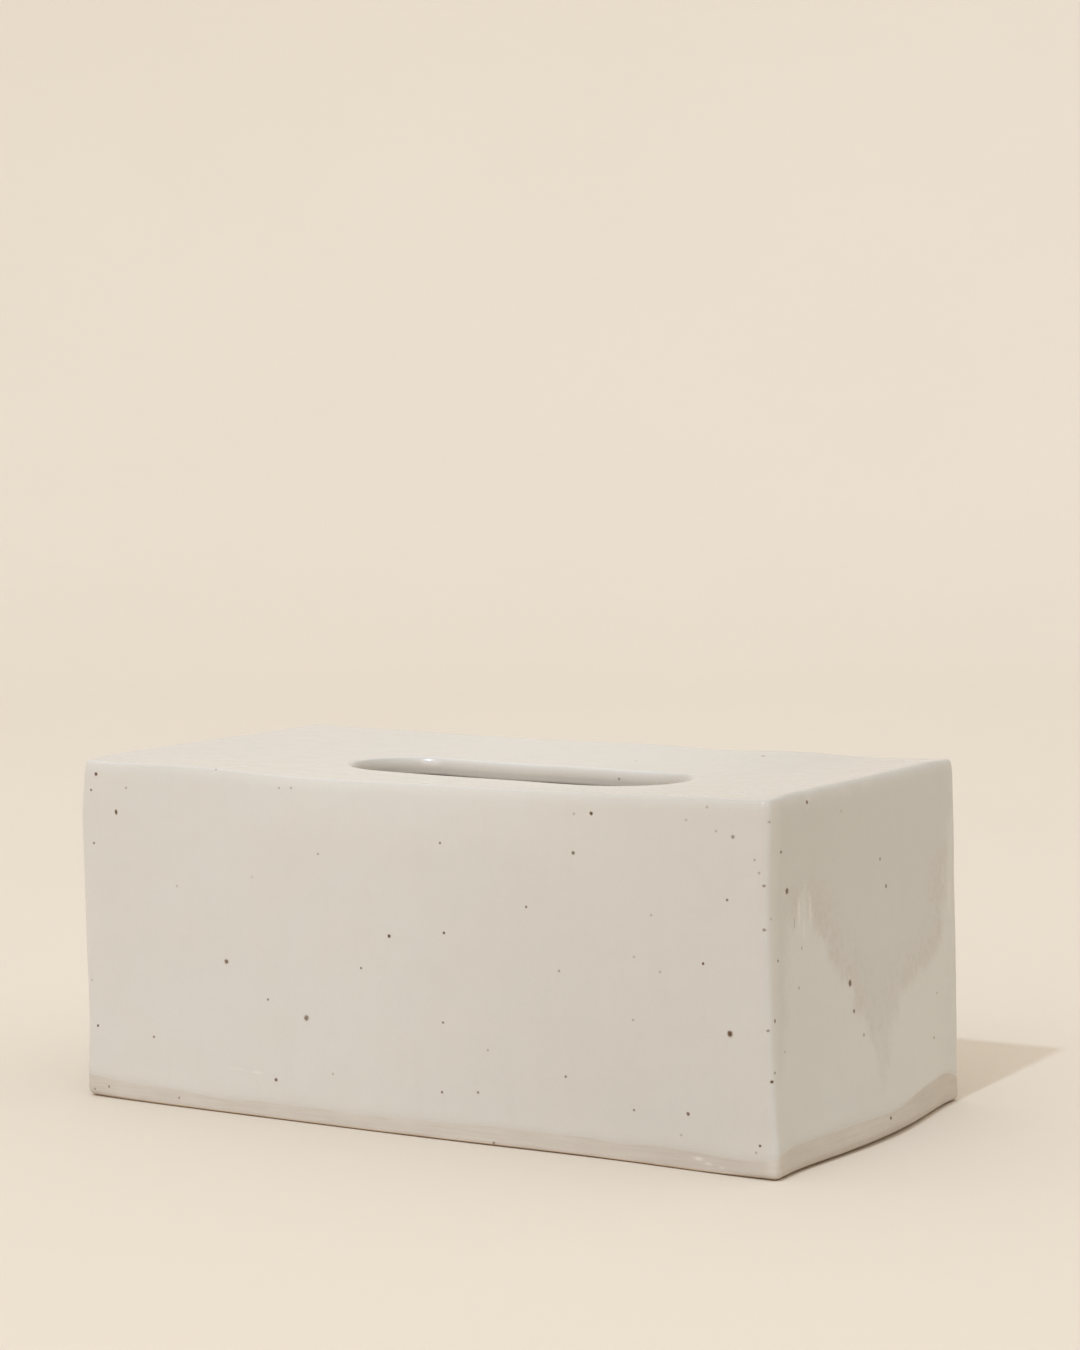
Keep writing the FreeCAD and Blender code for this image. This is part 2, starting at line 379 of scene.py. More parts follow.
skin = []      # rings over the outside: place on the true box, way out, height above the glaze line
for h in (0.0, 0.18, 0.45, 0.9, 1.6, 2.6):
    skin.append((lift(plan, line + h), lift(out, 0.0), np.full(K, h)))
rim = rim_steps(plan[:, 0], plan[:, 1])
top_of_wall = HT - rim[-1][1]
for t in (np.arange(66) + 1.0) / 66:
    z = line + 2.6 + (top_of_wall - line - 2.6) * t
    skin.append((lift(plan, z), lift(out, 0.0), z - line))
for i, (d, h, g) in enumerate(rim):
    skin.append((lift(plan - out * d[:, None], top_of_wall + h), lift(out * np.cos(g)[:, None], np.sin(g)),
                 top_of_wall + h - line))
edge_in = plan - out * rim[-1][0][:, None]
slot_rim = slot_steps(away)
rim_out = wall + away * slot_rim[0][0][:, None] + shift
for t in (np.arange(29) + 1.0) / 29:
    skin.append((lift(edge_in + (rim_out - edge_in) * t, HT), lift(out * 0, 1.0), np.full(K, 100.0)))
for o, d, g in slot_rim[1:]:
    skin.append((lift(wall + shift + away * o[:, None], HT - d), lift(-away * np.sin(g)[:, None], np.cos(g)), np.full(K, 100.0)))
for d in (4.4, 5.0, 5.7):
    skin.append((lift(wall + shift, HT - d), lift(-away, 0.0), np.full(K, 100.0)))
for a in np.radians((30, 60, 80)):
    c, s = math.cos(a), math.sin(a)
    skin.append((lift(wall + shift + away * 0.5 * (1 - c), HT - 5.7 - 0.5 * s), lift(-away * c, -s), np.full(K, 100.0)))

peel = waves(14, 10, 26, 41)
pool = waves(10, 30, 80, 42)
rings, heights = [], []
for i, (p, n, h) in enumerate(skin):
    e = edge_depth(h)
    calm = 1.0 - 0.85 * smooth(0.6, 1.0, n[:, 2])
    e = e - (0.020 * peel(p) + 0.045 * pool(p)) * smooth(0.5, 4.0, h) * calm
    if i >= len(skin) - 3:
        e = e + 0.42 * (i - (len(skin) - 4)) / 3.0
    rings.append(p - e[:, None] * n)
    heights.append(h)
outside_rings = len(rings)
picks = list(range(len(skin) - 1, 5, -1))
picks = [i for j, i in enumerate(picks) if j % 3 == 0 or 71 <= i <= 84] + [4, 2, 1]
for i in picks:
    p, n, h = skin[i]
    e = np.maximum(clay_inset(np.minimum(h, 99.0)) - 0.015, edge_depth(h) + 0.03)
    rings.append(p - e[:, None] * n)
    heights.append(np.full(K, -5.0))
glaze_true = np.concatenate(rings)
glaze_pts = warp(glaze_true)
glaze = new_object("glaze_skin", glaze_pts, ring_faces(len(rings), K, True))
point_values(glaze, "line_mm", np.concatenate(heights))

# ------------------------------------------------------------------ clay slabs
W_LONG, W_SHORT, W_CORNER = 96, 56, 9
tool_marks = waves(10, 14, 45, 51)
hand = waves(12, 22, 70, 52)


def side_span(side):
    half = W_CORNER // 2
    total = 2 * W_LONG + 2 * W_SHORT + 4 * W_CORNER
    starts = {"front": 0, "right": W_LONG + W_CORNER, "back": W_LONG + 2 * W_CORNER + W_SHORT,
              "left": 2 * W_LONG + 3 * W_CORNER + W_SHORT}
    n = W_LONG if side in ("front", "back") else W_SHORT
    first = starts[side] - half - 1
    return np.mod(np.arange(first, first + n + 2 * half + 2), total)


def plan_at(e):
    return outline(HX - e, HY - e, max(RC - e, 0.35), W_LONG, W_SHORT, W_CORNER)


def wall_slab(side):
    ids = side_span(side)
    base, n = outline(HX, HY, RC, W_LONG, W_SHORT, W_CORNER)
    base, n = base[ids], n[ids]
    inner = plan_at(INSET)[0][ids]
    line_here = line_height(base[:, 0], base[:, 1])
    foot = foot_curve(around(base[:, 0], base[:, 1]))
    edge = rim_steps(base[:, 0], base[:, 1])
    top_here = HT - edge[-1][1]
    outer_rows, inner_rows = [], []
    # the cover stands on a ring inside its edge: the edge itself is sponged clear of the table
    gap = foot_gap(around(base[:, 0], base[:, 1]))
    stand = (0.10 + foot + np.clip(4.4 - foot, 0.4, 2.0)) / INSET
    outer_rows.append(lift(base + (inner - base) * stand[:, None], np.zeros(len(base))))
    for a in np.radians((90, 68, 46, 24)):
        c, s = math.cos(a), math.sin(a)
        z = gap + (foot - gap) * (1 - s)
        e = 0.10 + foot * (1 - c)
        outer_rows.append(lift(base - n * e[:, None], z))
    d = (inner - base) / np.linalg.norm(inner - base, axis=1)[:, None]
    for a in np.radians((90, 72, 54, 36, 18)):
        c, s = math.cos(a), math.sin(a)
        inner_rows.append(lift(inner - d * 1.2 * (1 - c), np.full(len(inner), 1.2 * (1 - s))))
    levels = np.concatenate([np.linspace(0, 0.13, 15), np.linspace(0.13, 1.0, 22)[1:]])
    for t in levels:
        z = foot + (top_here - foot) * t
        p = lift(base, z)
        calm_here = 1 - 0.75 * np.exp(-((z - line_here - 0.3) / 1.6) ** 2)
        e = clay_inset(z - line_here) + 0.015 - 0.03 * tool_marks(p) * (1 - smooth(12, 20, z)) * calm_here
        outer_rows.append(lift(base - n * e[:, None], z))
        zi =1.2 + (HT - INSET - 1.2) * t * 0.985
        q = lift(inner, zi)
        give = 0.16 * hand(q) * smooth(2, 14, zi)
        inner_rows.append(lift(inner + n * np.minimum(give, 0.3)[:, None] * 0.8, np.full(len(inner), zi)))
    deep = GLAZE + 0.015
    for k, (d, h, g) in enumerate(edge[:RIM_SPLIT + 1]):
        outer_rows.append(lift(base - n * (d + deep * np.cos(g))[:, None], top_here + h - deep * np.sin(g)))
        zi = 1.2 + (HT - INSET - 1.2) * (0.985 + 0.015 * (k + 1) / (RIM_SPLIT + 1))
        inner_rows.append(lift(inner, np.full(len(inner), zi)))
    o = np.stack(outer_rows, 1)
    i = np.stack(inner_rows, 1)
    t = np.linspace(0, 1, 5)[None, None, :, None]
    grid = o[:, :, None, :] * (1 - t) + i[:, :, None, :] * t
    obj = block_object(side + ("_slab_clay" if side in ("front", "back") else "_end_slab_clay"), warp(grid))
    sharpen(obj, 38)
    return obj


slabs = {}
for side, node in (("front", "front_slab"), ("back", "back_slab"), ("left", "left_end_slab"), ("right", "right_end_slab")):
    slabs[node] = wall_slab(side)

# the top slab as rings: outer edge, upper face, slot, underside
tplan, tout = outline(HX, HY, RC, W_LONG, W_SHORT, W_CORNER)
twall, taway = slot_outline(tplan)
twall = twall + shift
tin = plan_at(INSET)[0]
top_rings = []
tedge = rim_steps(tplan[:, 0], tplan[:, 1])
deep = GLAZE + 0.015
for d, h, g in tedge[RIM_SPLIT:]:
    top_rings.append(lift(tplan - tout * (d + deep * np.cos(g))[:, None], HT - tedge[-1][1] + h - deep * np.sin(g)))
a_ring = tplan - tout * tedge[-1][0][:, None]
tslot = slot_steps(taway)
b_ring = twall + taway * tslot[0][0][:, None]
for t in (np.arange(12) + 1.0) / 12:
    top_rings.append(lift(a_ring + (b_ring - a_ring) * t, HT - GLAZE - 0.015))
for o, d, g in tslot[1:]:
    top_rings.append(lift(twall + taway * (o + deep * np.sin(g))[:, None], HT - d - deep * np.cos(g)))
top_rings.append(lift(twall + taway * (GLAZE + 0.015), HT - 5.2))
for a in np.radians((25, 50, 70, 90)):
    c, s = math.cos(a), math.sin(a)
    top_rings.append(lift(twall + taway * (GLAZE + 0.015 + 1.1 * (1 - c)), HT - INSET + 1.1 - 1.1 * s))
low_in = twall + taway * (GLAZE + 1.1)
for t in (np.arange(16) + 1.0) / 16:
    p = lift(low_in + (tin - low_in) * t, HT - INSET)
    p[:, 2] += 0.18 * np.minimum(hand(p), 1.0) * (1 - smooth(0.8, 1.0, t)) * smooth(0, 0.15, t)
    top_rings.append(p)
for t in (0.25, 0.5, 0.75):
    top_rings.append(top_rings[-1] * 0 + lift(tin, HT - INSET) * (1 - t) + top_rings[0] * t)
top_pts = warp(np.concatenate(top_rings))
slabs["top_slab"] = new_object("top_slab_clay", top_pts, ring_faces(len(top_rings), len(tplan), True))
sharpen(slabs["top_slab"], 38)

# ------------------------------------------------------------------ coils
COIL = 4.0
press = waves(10, 11, 30, 61)


def top_coil(side):
    ids = side_span(side)[W_CORNER // 2 + 1 - 1: -(W_CORNER // 2) or None]
    corner_line = plan_at(INSET)[0][ids]
    n = len(ids)
    u = np.linspace(0, 1, n)
    rows = [lift(corner_line, HT - INSET)]
    ease = smooth(0, 0.06, u) * smooth(0, 0.06, 1 - u)
    for a in np.radians(np.linspace(0, 90, 10)):
        p = lift(corner_line, HT - INSET)
        size = COIL * (0.95 + (0.045 * np.clip(press(p * (1, 1, 0)), -1.5, 1.0)) * ease)
        d, h = size * math.cos(a), size * math.sin(a)
        q = np.array([plan_at(INSET + x)[0][i] for x, i in zip(d, ids)])
        rows.append(lift(q, HT - INSET - h))
    return np.stack(rows, 1)


def prism_object(name, rows):
    """Closed bar from sections of equal point count, capped at both ends."""
    n, m = rows.shape[:2]
    verts = rows.reshape(-1, 3)
    faces = []
    for i in range(n - 1):
        for j in range(m):
            k = (j + 1) % m
            faces.append([i * m + j, (i + 1) * m + j, (i + 1) * m + k, i * m + k])
    faces.append(list(range(m)))
    faces.append([(n - 1) * m + j for j in range(m)][::-1])
    return new_object(name, verts, faces)


coils = {}
for side in ("front", "back", "left", "right"):
    bar = prism_object("coil_top_%s_clay" % side, warp(top_coil(side)))
    sharpen(bar, 50)
    coils["coil_top_" + side] = bar

for fb, sy in (("front", -1), ("back", 1)):
    for lr, sx in (("left", -1), ("right", 1)):
        cx, cy = sx * (HX - INSET), sy * (HY - INSET)
        levels = np.linspace(0, 1, 44)
        section = [(0.0, 0.0)] + [(math.cos(a), math.sin(a)) for a in np.radians(np.linspace(0, 90, 10))]
        rows = []
        for t in levels:
            z_mid = 7.0 + t * (HT - INSET - 7.0)
            grow = COIL * (0.94 + 0.05 * float(np.clip(press(np.array([[cx, cy, z_mid]]))[0], -1.5, 1.0)))
            grow *= 0.80 + 0.20 * float(smooth(0, 0.03, t))
            row = []
            for ca, sa in section:
                dx, dy = grow * ca, grow * sa
                lid = max(math.sqrt(max(COIL ** 2 - dx ** 2, 0)), math.sqrt(max(COIL ** 2 - dy ** 2, 0))) * 0.93
                z = 7.0 + t * (HT - INSET - lid - 7.0)
                row.append((cx - sx * dx, cy - sy * dy, z))
            rows.append(row)
        post = prism_object("coil_corner_%s_%s_clay" % (fb, lr), warp(np.array(rows)))
        sharpen(post, 50)
        coils["coil_corner_%s_%s" % (fb, lr)] = post


# ------------------------------------------------------------------ marks in the glaze
# Iron specks and brush marks: place in modelling millimetres, half width and
# half height, and strength (above 0 dark, below 0 pale).
SPECKS = [
    (-122.5, -67.9, 108.3, .52, .52, 1.0), (-124.6, -68.0, 102.9, .38, .38, .8), (-110.2, -67.9, 104.4, .38, .38, .45),
    (-114.4, -67.9, 96.1, .48, .75, 1.0), (-123.8, -67.9, 85.2, .38, .38, .7), (-74.3, -67.0, 112.3, .25, .25, .6),
    (-48.9, -68.0, 107.8, .38, .38, .35), (-44.3, -67.9, 108.1, .38, .38, .35), (-34.1, -67.9, 87.5, .38, .38, .4),
    (-59.9, -67.9, 78.3, .38, .38, .2), (-89.9, -68.0, 73.2, .38, .38, .3), (11.9, -68.1, 94.0, .38, .38, .7),
    (43.0, -68.0, 76.2, .38, .38, .8), (-7.3, -68.0, 63.2, .52, .52, 1.0), (13.1, -68.0, 65.8, .38, .38, 1.0),
    (-18.0, -68.0, 52.1, .38, .38, .7), (-70.2, -68.2, 49.9, .7, .7, .85), (-53.9, -68.3, 38.9, .38, .38, .7),
    (-39.0, -68.2, 34.2, .8, .8, .75), (-123.0, -68.3, 24.0, .38, .38, 1.0), (-99.8, -68.4, 22.4, .38, .38, .7),
    (-125.4, -68.1, 39.1, .38, .38, .3), (-50.8, -68.6, 13.0, .52, .52, .9), (12.5, -67.9, 37.4, .38, .38, .7),
    (28.7, -67.6, 30.2, .38, .38, .35), (12.0, -68.0, 15.3, .38, .38, .8), (25.1, -67.7, 16.5, .38, .38, .7),
    (-28.8, -68.4, 17.1, .38, .38, .3), (54.4, -67.7, 57.2, .38, .38, .5), (60.0, -67.9, 106.0, .38, .38, .35),
    (66.0, -67.8, 106.5, .52, .52, 1.0), (59.7, -67.9, 94.0, .52, .52, .8), (98.6, -67.9, 106.5, .38, .38, .3),
    (105.6, -67.8, 110.8, .38, .38, .35), (108.7, -67.9, 103.8, .38, .38, .3), (114.3, -67.9, 102.4, .52, .52, .6),
    (121.5, -67.9, 96.0, .38, .38, .35), (123.0, -67.9, 92.2, .38, .38, .35), (124.4, -67.5, 88.4, .38, .38, .6),
    (112.4, -67.9, 83.4, .38, .38, .8), (124.4, -67.4, 75.3, .38, .38, .6), (125.6, -65.2, 78.3, .38, .38, .35),
    (104.3, -67.9, 63.6, .38, .38, 1.0), (86.6, -67.8, 76.9, .38, .38, .3), (80.6, -67.7, 63.7, .38, .38, .3),
    (89.6, -67.7, 59.8, .38, .38, .3), (113.3, -67.8, 43.2, .78, .85, 1.0), (80.1, -67.3, 44.3, .38, .38, .35),
    (56.2, -66.9, 24.5, .38, .38, .7), (98.9, -67.3, 17.4, .52, .52, .85), (80.0, -66.7, 16.5, .38, .38, .6),
    (96.4, -67.0, 10.7, .38, .38, .3), (125.7, -67.3, 45.2, .38, .38, .6), (126.6, -64.5, 47.8, .42, .55, 1.0),
    (126.8, -66.7, 29.9, .42, .42, 1.0), (127.1, -65.5, 32.4, .38, .38, .6), (123.3, -67.7, 10.4, .38, .38, 1.0),
    (122.0, -67.7, 8.2, .38, .38, .35), (125.7, -66.5, 107.4, .38, .38, .35), (125.9, -59.3, 97.6, .45, .42, 1.0),
    (126.2, -42.4, 110.7, .6, .5, 1.0), (126.2, -18.7, 105.4, .38, .38, .35), (125.7, -54.8, 85.3, .85, .85, 1.0),
    (126.5, 9.1, 87.2, .5, .5, .6), (126.9, 12.8, 78.2, .55, .55, .8), (126.3, -45.8, 66.9, .4, .5, .5),
    (126.1, -61.5, 65.3, .4, .45, .7), (126.7, -48.6, 55.2, .38, .45, .5), (128.2, -16.0, 51.8, .85, .95, 1.0),
    (128.2, 50.0, 38.4, .5, .38, .35), (128.9, -14.6, 42.9, .6, .55, .8), (129.9, -9.5, 34.7, .5, .5, .5),
    (128.9, 46.1, 24.4, .5, .5, .5), (127.0, -58.6, 37.5, .38, .38, .35),
    (-118.6, -68.5, 3.9, .38, .38, .55), (-89.6, -68.7, 3.1, .38, .38, .5), (-124.6, -68.4, 2.5, .38, .38, .45),
    (30.6, -67.5, 1.1, .38, .38, .7), (133.4, 3.1, 6.5, .55, .45, 1.0),
    (22.4, 39.3, 109.8, .5, .9, .3), (26.3, 20.6, 105.8, .38, .38, .6),
    # brush marks on the right end, a scratch on the front, a smear on the foot
    (125.8, -47.0, 78.0, .75, 5.2, -1.0), (126.0, -39.7, 78.4, .8, 5.4, -.9), (126.0, -44.0, 72.0, .9, 4.2, -.55),
    (125.9, -50.1, 75.0, .35, 1.6, .22), (127.1, 61.8, 69.0, 1.6, 9.0, -.45),
    (-66.0, -68.6, 15.1, 3.6, .36, -.6), (-58.6, -68.6, 14.7, 3.2, .42, -1.0),
    (102.2, -66.9, 4.1, 1.9, .7, -1.0), (105.6, -67.0, 2.9, 1.5, .6, -.8), (110.3, -67.2, 2.2, 1.2, .45, -.7),
]
# Edge of the part of the right end that took less glaze, as depth and height.
THIN = [(-62.5, 114), (-63, 28), (-60, 32), (-57, 50), (-55, 70), (-51, 76), (-46, 79), (-44, 83.4), (-39.8, 77.6),
        (-35.6, 71.9), (-26, 58.3), (-16.3, 50), (-12.7, 42.6), (-3.6, 30), (-.2, 16.9), (5, 24), (11.8, 33),
        (19.7, 43), (38.7, 47.3), (50.8, 51.4), (56, 57.8), (58.5, 73.6), (62, 92), (66.5, 98), (66.5, 114)]


def inside_distance(poly, q):
    """Distance of points from the edge of a polygon, above 0 inside it."""
    poly = np.asarray(poly, float)
    best = np.full(len(q), 1e9)
    odd = np.zeros(len(q), bool)
    for a, b in zip(poly, np.roll(poly, -1, 0)):
        ab = b - a
        t = np.clip(((q - a) @ ab) / max(ab @ ab, 1e-12), 0, 1)
        best = np.minimum(best, np.linalg.norm(q - a - t[:, None] * ab, axis=1))
        if a[1] != b[1]:
            cross = (a[1] > q[:, 1]) != (b[1] > q[:, 1])
            odd ^= cross & (q[:, 0] < (b[0] - a[0]) * (q[:, 1] - a[1]) / (b[1] - a[1]) + a[0])
    return np.where(odd, best, -best)


def random_specks():
    """Specks for the sides that face away, as sparse as those on the front."""
    g = np.random.default_rng(77)
    rows = []
    for face, count in (("back", 54), ("left", 26), ("top", 4)):
        for _ in range(count):
            a, b = g.uniform(-1, 1), g.uniform(0, 1)
            size = g.choice([.26, .36, .42, .55, .75], p=[.25, .35, .2, .13, .07])
            dark = min(1.0, g.uniform(.3, 1.0) * (0.7 + 0.5 * size))
            if face == "back":
                p = (a * 122, HY, 9 + b * 100)
            elif face == "left":
                p = (-HX, a * 62, 9 + b * 100)
            else:
                p = (a * 120, (24 + b * 38) * (1 if g.uniform() < .6 else -1), HT)
            q = warp(np.array([p]))[0]
            rows.append((q[0], q[1], q[2], size, size * g.uniform(.9, 1.25), dark))
    return rows


def mark_faces(obj, marks):
    """Gives each face the mark that is nearest to it, if one is near."""
    mesh = obj.data
    n = len(mesh.polygons)
    c = np.empty(n * 3, np.float32)
    mesh.polygons.foreach_get("center", c)
    c = c.reshape(-1, 3) / UNIT
    nrm = np.empty(n * 3, np.float32)
    mesh.polygons.foreach_get("normal", nrm)
    nrm = np.abs(nrm.reshape(-1, 3))
    axis = nrm.argmax(1)
    centre = np.zeros((n, 3), np.float32)
    scale = np.zeros((n, 3), np.float32)
    strength = np.zeros(n, np.float32)
    near = np.full(n, 1e9)
    for x, y, z, rw, rh, k in marks:
        d = c - (x, y, z)
        reach = 2.4 * max(rw, rh) + 2.4
        ids = np.where((np.abs(d) < reach).all(1))[0]
        if not len(ids):
            continue
        r = np.tile([rw, rw, rh], (len(ids), 1))
        r[np.arange(len(ids)), axis[ids]] = 1e6
        u = np.linalg.norm(d[ids] / r, axis=1)
        take = u < near[ids]
        ids, r, u = ids[take], r[take], u[take]
        near[ids] = u
        centre[ids] = (x, y, z)
        scale[ids] = 1 / r
        strength[ids] = k
    for name, kind, field, data in (("mark_at", "FLOAT_VECTOR", "vector", centre * UNIT),
                                    ("mark_scale", "FLOAT_VECTOR", "vector", scale / UNIT),
                                    ("mark_k", "FLOAT", "value", strength)):
        a = mesh.attributes.new(name, kind, "FACE")
        a.data.foreach_set(field, np.ascontiguousarray(data, np.float32).ravel())


marks = SPECKS + random_specks()
mark_faces(glaze, marks)
for obj in slabs.values():
    mark_faces(obj, [m for m in marks if m[2] < 12])
thin = np.full(len(glaze_pts), -30.0)
end_face = (glaze_true[:, 0] > HX - RC) & (np.concatenate(heights) > -4)
thin[end_face] = inside_distance(THIN, glaze_pts[end_face][:, 1:])
point_values(glaze, "thin_mm", np.clip(thin, -30, 30))
# the dip ran a little thinner towards the right of the front and top
# painted shade: everything but the right end gets darker towards the right, where less light falls
lean_x = np.concatenate([n[:, 0] for p, n, h in skin] + [skin[i][1][:, 0] for i in picks])
point_values(glaze, "painted_falloff_shade", smooth(-75, 128, glaze_true[:, 0]) * (1 - smooth(0.2, 0.9, lean_x)))
# faces of the right end, which get a painted cool fill light
point_values(glaze, "end", smooth(0.3, 0.95, lean_x))
lean_z = np.concatenate([n[:, 2] for p, n, h in skin] + [skin[i][1][:, 2] for i in picks])
# painted shade: upward faces get darker towards the right
point_values(glaze, "lid", smooth(10, 120, glaze_true[:, 0]) * smooth(0.25, 0.8, lean_z))
# painted light: the slot's rounded edge and walls get a warmer tone, standing in for the warm light inside the slot
on_top = np.concatenate([np.full(K, float(84 + 29 <= i < 84 + 29 + 13)) for i in range(len(skin))] + [np.zeros(K) for i in picks])
point_values(glaze, "cut", on_top * (1 - smooth(0.1, 0.8, lean_z)))
on_rim = np.concatenate([np.full(K, float(72 <= i < 84)) for i in range(len(skin))] + [np.zeros(K) for i in picks])
point_values(glaze, "brow", on_rim * smooth(0.25, 0.55, lean_z) * (1 - smooth(0.9, 1.0, lean_z)))


# ------------------------------------------------------------------ shader helpers
class Tree:
    def __init__(self, name):
        self.mat = bpy.data.materials.new(name)
        self.mat.use_nodes = True
        self.nt = self.mat.node_tree
        self.nt.nodes.clear()

    def add(self, kind, **props):
        n = self.nt.nodes.new(kind)
        for k, v in props.items():
            setattr(n, k, v)
        return n

    def put(self, socket, value):
        if isinstance(value, bpy.types.NodeSocket):
            self.nt.links.new(value, socket)
        elif value is not None:
            socket.default_value = value

    def math(self, op, a, b=None, c=None, clamp=False):
        n = self.add("ShaderNodeMath", operation=op, use_clamp=clamp)
        for s, v in zip(n.inputs, (a, b, c)):
            self.put(s, v)
        return n.outputs[0]

    def vec(self, op, a, b=None):
        n = self.add("ShaderNodeVectorMath", operation=op)
        self.put(n.inputs[0], a)
        if b is not None:
            self.put(n.inputs[1], b)
        return n.outputs["Value"] if op in ("LENGTH", "DISTANCE", "DOT_PRODUCT") else n.outputs["Vector"]

    def mix(self, fac, a, b, mode="MIX"):
        n = self.add("ShaderNodeMix", data_type="RGBA", blend_type=mode)
        self.put(n.inputs[0], fac)
        self.put(n.inputs[6], a)
        self.put(n.inputs[7], b)
        return n.outputs[2]

    def remap(self, v, lo, hi, to_lo=0.0, to_hi=1.0, kind="SMOOTHSTEP"):
        n = self.add("ShaderNodeMapRange", interpolation_type=kind)
        for s, x in zip(n.inputs, (v, lo, hi, to_lo, to_hi)):
            self.put(s, x)
        return n.outputs[0]

    def noise(self, vector, scale, detail=2.0, rough=0.5, lac=2.0, distort=0.0):
        n = self.add("ShaderNodeTexNoise")
        self.put(n.inputs["Vector"], vector)
        self.put(n.inputs["Scale"], scale)
        self.put(n.inputs["Detail"], detail)
        self.put(n.inputs["Roughness"], rough)
        self.put(n.inputs["Lacunarity"], lac)
        self.put(n.inputs["Distortion"], distort)
        return n.outputs[0]

    def attr(self, name, out="Fac"):
        return self.add("ShaderNodeAttribute", attribute_name=name).outputs[out]

    def coords(self):
        return self.add("ShaderNodeTexCoord").outputs["Object"]


def col(r, g, b):
    return (r, g, b, 1.0)


# ------------------------------------------------------------------ marks in a colour
def with_marks(t, p, colour):
    """Lays the dark specks and pale strokes of the face values over a colour."""
    k = t.attr("mark_k")
    q = t.vec("MULTIPLY", t.vec("SUBTRACT", p, t.attr("mark_at", "Vector")), t.attr("mark_scale", "Vector"))
    ragged = t.noise(p, 1500.0, 2.0, 0.6)
    d = t.math("ADD", t.vec("LENGTH", q), t.math("MULTIPLY_ADD", ragged, 0.9, -0.45))
    dark = t.math("MAXIMUM", k, 0.0)
    pale = t.math("MAXIMUM", t.math("MULTIPLY", k, -1.0), 0.0)
    ring = t.math("MULTIPLY", t.remap(d, 0.9, 1.9, 1.0, 0.0), t.math("MULTIPLY", dark, 0.44))
    core = t.math("MULTIPLY", t.remap(d, 0.65, 1.4, 1.0, 0.0), t.math("MULTIPLY", dark, 0.97))
    soft = t.math("MULTIPLY", t.remap(d, 0.1, 1.3, 1.0, 0.0), pale)
    colour = t.mix(t.math("MULTIPLY", soft, 0.55), colour, col(0.74, 0.70, 0.63))
    colour = t.mix(ring, colour, col(0.38, 0.255, 0.155))
    return t.mix(core, colour, col(0.072, 0.035, 0.016))


# ------------------------------------------------------------------ glaze material
GLAZE_TONE = (0.614, 0.588, 0.543)
CLAY_TONE = (0.568, 0.518, 0.456)


def tint(t, fac, colour, r, g, b):
    return t.mix(fac, colour, t.mix(1.0, colour, col(r, g, b), "MULTIPLY"))


def clay_with_painted_light(t, p, base):
    """Clay colour with slow random changes, painted shade towards the right and along the foot edge, and painted light
    on the right end.
    """
    rgb = t.add("ShaderNodeRGB")
    rgb.outputs[0].default_value = base
    cloud = t.noise(p, 60.0, 4.0, 0.6)
    colour = tint(t, t.remap(cloud, 0.3, 0.7), rgb.outputs[0], 0.955, 0.95, 0.945)
    sep = t.add("ShaderNodeSeparateXYZ")
    t.put(sep.inputs[0], p)
    # painted shade: the clay darker towards the right, short of the right end
    along = t.math("MULTIPLY", t.remap(sep.outputs["X"], 0.03, 0.118), t.remap(sep.outputs["X"], 0.1225, 0.1265, 1.0, 0.0))
    colour = tint(t, along, colour, 0.925, 0.915, 0.915)
    # painted light: the clay of the right end lighter and cooler, lifting the shade there
    colour = tint(t, t.remap(sep.outputs["X"], 0.1235, 0.1275), colour, 1.035, 1.040, 1.050)
    # painted shade: brown contact shade along the lowest millimetre of the foot edge, where it meets the floor
    return tint(t, t.remap(sep.outputs["Z"], 0.0003, 0.0011, 1.0, 0.0), colour, 0.90, 0.71, 0.50)


